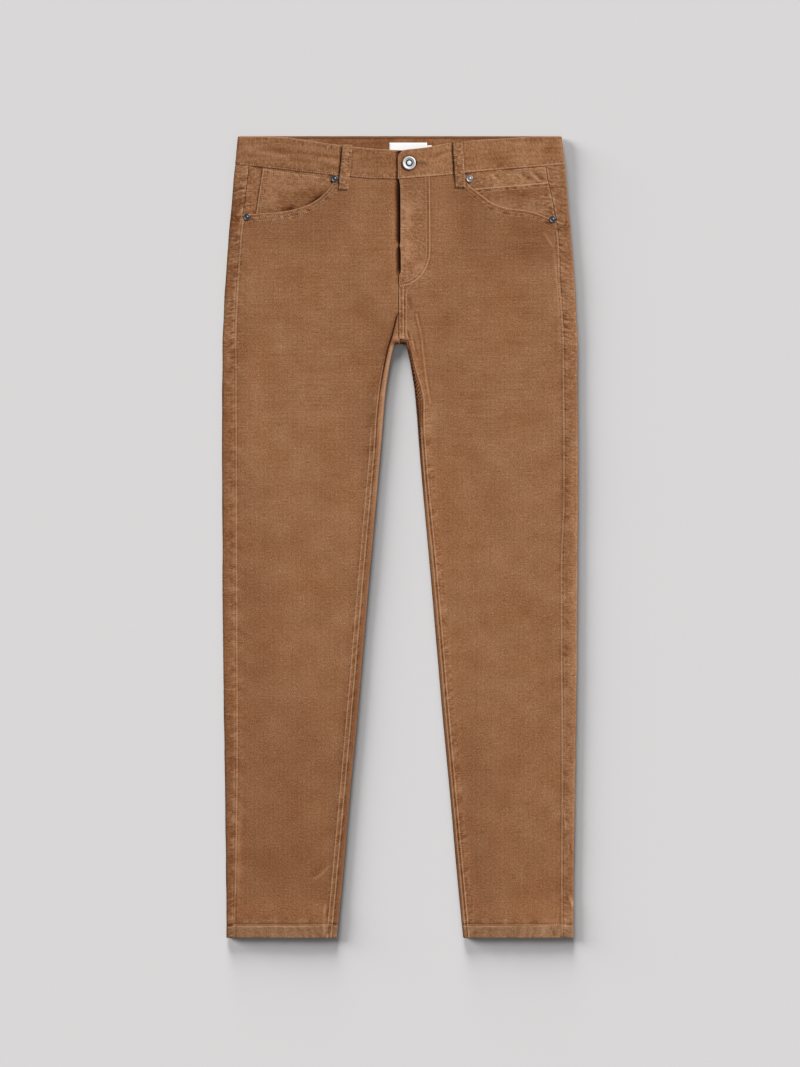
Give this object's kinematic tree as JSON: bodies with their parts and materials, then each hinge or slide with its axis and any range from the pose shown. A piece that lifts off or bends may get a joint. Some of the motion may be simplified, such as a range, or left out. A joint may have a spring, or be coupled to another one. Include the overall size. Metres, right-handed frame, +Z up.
{
  "type": "slim fit jeans",
  "caption": "Slim corduroy trousers laid flat, with a buttoned waistband, lapped fly, belt loops, curved front pockets, coin pocket, back yokes and tapered legs.",
  "frame": {"origin": "on the surface that carries the garment, under the middle of its outline", "axes": "+Y from the hems to the waistband, +Z up out of the front face, +X towards the wearer's left side"},
  "size_m": [0.4626, 1.0426, 0.0132],
  "materials": {
    "corduroy": "fine brushed corduroy, matte with a soft nap",
    "label": "smooth woven white, blank",
    "button_metal": "satin, darkened in the recess",
    "rivet_metal": "dark satin"
  },
  "bodies": {
    "root": {"front_right": "corduroy", "front_left": "corduroy", "back_right": "corduroy", "back_left": "corduroy", "yoke_right": "corduroy", "yoke_left": "corduroy", "facing_right": "corduroy", "facing_left": "corduroy", "coin_pocket": "corduroy", "pocket_patch_left": "corduroy", "waistband": "corduroy", "belt_loop_front_right": "corduroy", "belt_loop_front_left": "corduroy", "belt_loop_back_right": "corduroy", "belt_loop_back_centre": "corduroy", "belt_loop_back_left": "corduroy", "label": "label", "label_tab": "label", "button": "button_metal", "rivet_right_waist": "rivet_metal", "rivet_right_side": "rivet_metal", "rivet_left_waist": "rivet_metal", "rivet_left_side": "rivet_metal"}
  },
  "joints": []
}
